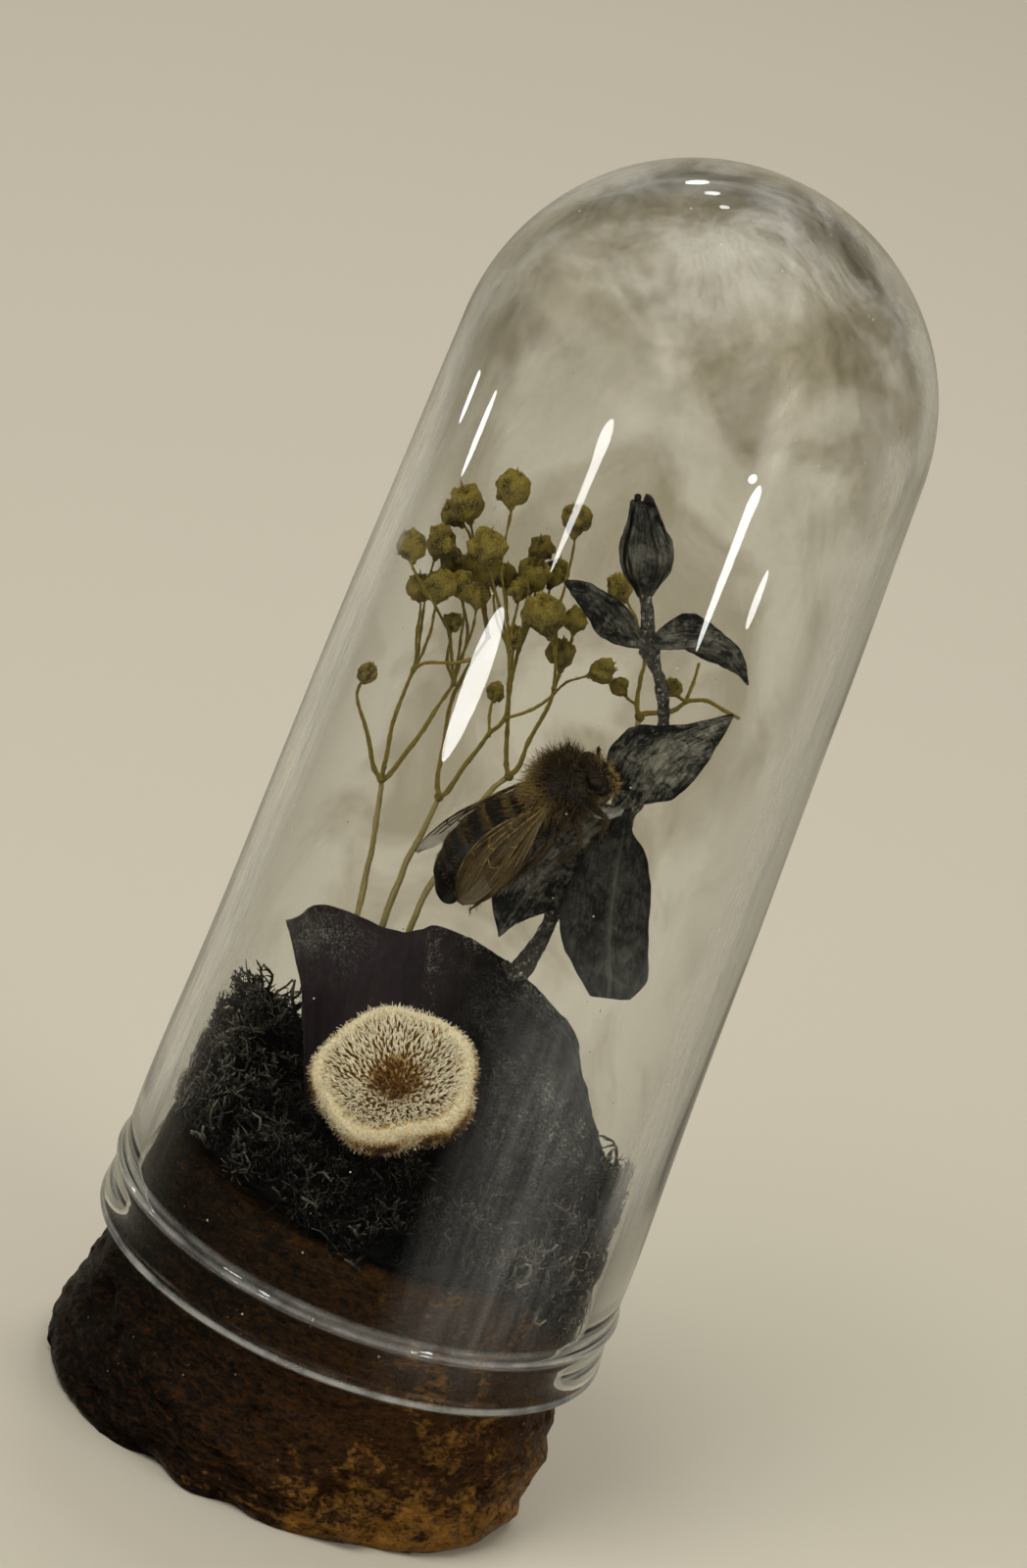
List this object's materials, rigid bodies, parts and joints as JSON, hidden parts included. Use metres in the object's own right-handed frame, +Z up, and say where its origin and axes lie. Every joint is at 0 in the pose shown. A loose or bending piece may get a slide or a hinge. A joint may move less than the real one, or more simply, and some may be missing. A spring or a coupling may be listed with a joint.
{
  "type": "insect in glass dome",
  "caption": "A dried honey bee among dried moss, petals, leaves and sprigs of round buds, under a small glass dome pressed on a dark stained cork plug.",
  "frame": {"origin": "middle of the cork's flat bottom, on the dome's axis", "axes": "+Z up along the dome's axis; -Y is the side from which the bee shows, with +X to the right there"},
  "size_m": [0.0336, 0.0336, 0.0895],
  "materials": {
    "dark_cork": "cork stained very dark brown and lacquered, semi-gloss, with open pits and a few orange-brown patches",
    "clear_glass": "clear blown glass, about 1.2 mm thick, polished, with faint smears inside",
    "black_moss": "dried moss dyed black, matt and feathery",
    "violet_petal": "dried petal, dark violet to blue-black, matt, with a pale bloom on its crests",
    "cream_felt": "felted cream hairs with a brown middle and a brown underside",
    "grey_stem": "dried stem, dark grey with a whitish bloom",
    "grey_leaf": "dried leaf, dark grey, matt, streaked lengthwise with a whitish bloom",
    "clear_glue": "small drop of clear hard glue, glossy",
    "bee_body": "dried bee: brown hairs, dark and tan bands, smoky see-through wings",
    "straw_stem": "thin dried stems, straw to olive, matt",
    "olive_bud": "dried round buds, olive to brown, matt and wrinkled, on thin straw twigs"
  },
  "bodies": {
    "root": {"cork_base": "dark_cork", "glass_dome": "clear_glass", "moss_mound": "black_moss", "dark_petal": "violet_petal", "flower_head": "cream_felt", "leaf_stem": "grey_stem", "leaf_top_left": "grey_leaf", "leaf_top_right": "grey_leaf", "leaf_middle": "grey_leaf", "leaf_drooping_left": "grey_leaf", "leaf_drooping_right": "grey_leaf", "flower_bud": "grey_leaf", "glue_drop": "clear_glue", "bee": "bee_body", "sprig_left_stem": "straw_stem", "sprig_left_outer": "olive_bud", "sprig_left_middle": "olive_bud", "sprig_left_inner": "olive_bud", "sprig_middle_stem": "straw_stem", "sprig_middle_left": "olive_bud", "sprig_middle_right": "olive_bud", "sprig_right_stem": "straw_stem", "sprig_right_left": "olive_bud", "sprig_right_inner": "olive_bud", "sprig_back_stem": "straw_stem", "sprig_back_left": "olive_bud", "sprig_back_right": "olive_bud"}
  },
  "joints": []
}
